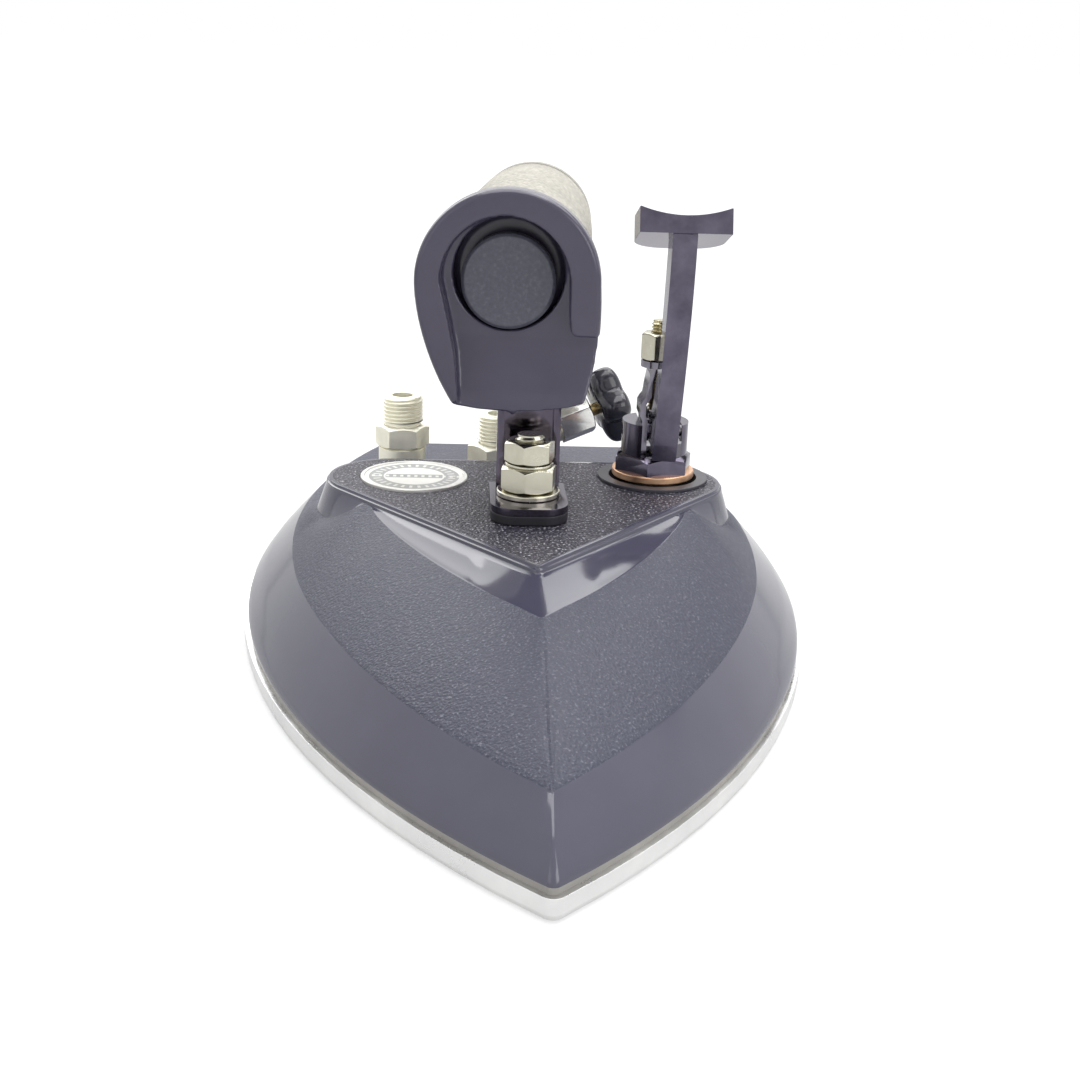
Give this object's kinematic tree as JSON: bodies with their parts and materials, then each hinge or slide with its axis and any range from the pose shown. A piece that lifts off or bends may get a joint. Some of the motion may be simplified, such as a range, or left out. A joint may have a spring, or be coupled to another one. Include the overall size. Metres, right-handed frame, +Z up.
{
  "type": "industrial steam iron",
  "caption": "Boiler-fed industrial steam iron with a pointed sole, a moulded cover, a cork handle on two brackets, a thumb-lever steam valve and a drain valve.",
  "frame": {"origin": "middle of the sole's face, on the centre line, at the surface that the iron stands on", "axes": "+Z up from the sole, +Y from the toe to the heel, +X toward the steam lever"},
  "size_m": [0.1196, 0.2111, 0.0948],
  "materials": {
    "sole": "ground and polished",
    "lid": "as cast",
    "gasket": "pressed fibre sheet",
    "seal": "matt",
    "screws": "bright",
    "cover": "grained and glossy moulding",
    "badge": "printed satin plate",
    "collar": "satin",
    "nickel": "nickel plated brass",
    "dark_plate": "dark polished plating",
    "spring": "stainless wire",
    "brass": "turned",
    "packing": "waxy white",
    "copper": "soft copper ring",
    "steel": "bright",
    "foot": "moulded",
    "guard": "moulded",
    "cap": "matt",
    "cork": "ground cork",
    "knob": "polished moulding"
  },
  "bodies": {
    "iron": {"sole_plate": "sole", "chamber_gasket": "gasket", "chamber_cover": "lid", "chamber_screws": "screws", "rim_seal": "seal", "body_cover": "cover", "badge_plate": "badge", "valve_collar": "collar", "valve_body": "nickel", "valve_spring": "spring", "stem_packing": "packing", "copper_gasket": "copper", "valve_bonnet": "dark_plate", "lever_pin": "steel", "front_foot": "foot", "rear_foot": "foot", "front_bracket": "dark_plate", "rear_bracket": "dark_plate", "front_stud": "nickel", "rear_stud": "nickel", "stud_spacers": "steel", "stud_washers": "nickel", "stud_nuts": "nickel", "lock_nuts": "nickel", "hand_guard": "guard", "guard_cap": "cap", "handle_bolt": "steel", "handle_nut": "nickel", "cork_grip": "cork", "grip_ferrule": "foot", "inlet_nipple": "nickel", "drain_valve_body": "nickel", "drain_packing_nut": "steel"},
    "lever": {"steam_lever": "dark_plate", "thumb_pad": "dark_plate"},
    "stem": {"valve_stem": "brass", "stem_yoke": "steel", "stroke_screw": "brass", "stroke_nut": "nickel"},
    "needle": {"drain_needle": "brass"},
    "knob": {"drain_knob": "knob", "knob_screw": "steel"}
  },
  "joints": [
    {"name": "lever_hinge", "type": "hinge", "parent": "iron", "child": "lever", "pos_m": [0.0275, 0.0185, 0.0416], "axis": [1, 0, 0], "range_deg": [0, 14], "stiffness_Nm_per_rad": 0.5, "springref_deg": -14.32},
    {"name": "stem_slide", "type": "slide", "parent": "iron", "child": "stem", "axis": [0, 0, 1], "range_m": [0, 0.000539], "deforming": ["valve_spring"]},
    {"name": "needle_slide", "type": "slide", "parent": "iron", "child": "needle", "axis": [0.9192, 0.1954, 0.342], "range_m": [0, 0.0012]},
    {"name": "knob_turn", "type": "hinge", "parent": "needle", "child": "knob", "pos_m": [-0.0051, 0.053, 0.0278], "axis": [0.9192, 0.1954, 0.342], "range_deg": [0, 540]}
  ],
  "couplings": [
    {"joint": "lever_hinge", "follows": "stem_slide", "rad_per_m": 453.31},
    {"joint": "knob_turn", "follows": "needle_slide", "rad_per_m": 7854}
  ]
}
